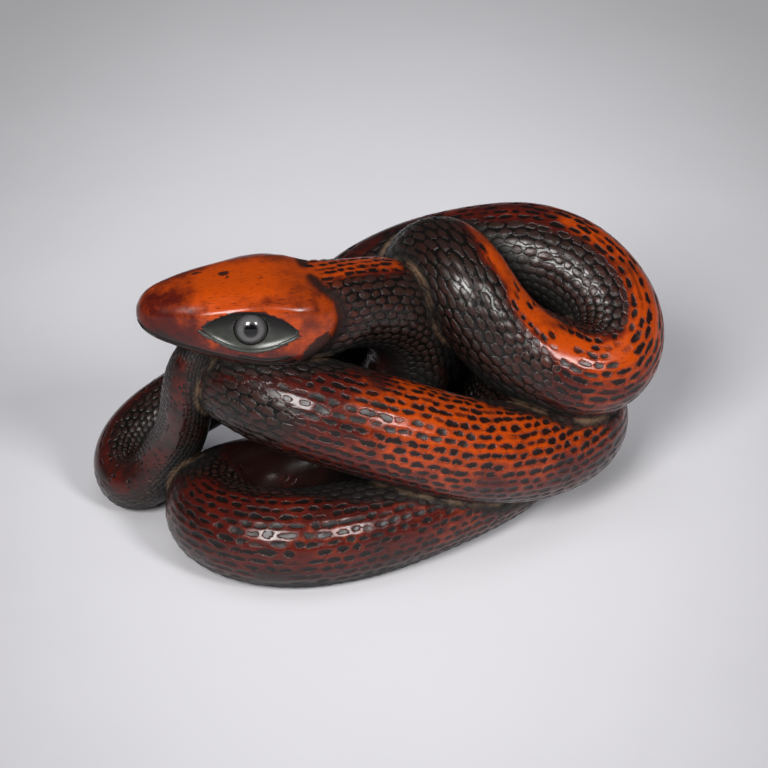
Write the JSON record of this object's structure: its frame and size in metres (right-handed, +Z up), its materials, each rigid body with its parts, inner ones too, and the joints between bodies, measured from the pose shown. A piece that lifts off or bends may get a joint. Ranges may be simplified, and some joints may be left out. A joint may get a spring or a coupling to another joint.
{
  "type": "netsuke",
  "caption": "Palm-sized carved wooden snake, its body knotted into stacked coils on a worn flat base, the head laid over them with inlaid domed eyes.",
  "frame": {"origin": "middle of the bounding box at the plane the carving rests on", "axes": "+Z up, +X along the longest side and away from the snout, the side seen in the picture faces -Y"},
  "size_m": [0.0548, 0.0348, 0.0312],
  "materials": {
    "stained_wood": "stained dark red-brown, polished and worn to orange on the high places",
    "pale_horn": "polished translucent grey with a dark pupil"
  },
  "bodies": {
    "root": {"snake": "stained_wood", "left_eye": "pale_horn", "right_eye": "pale_horn"}
  },
  "joints": []
}
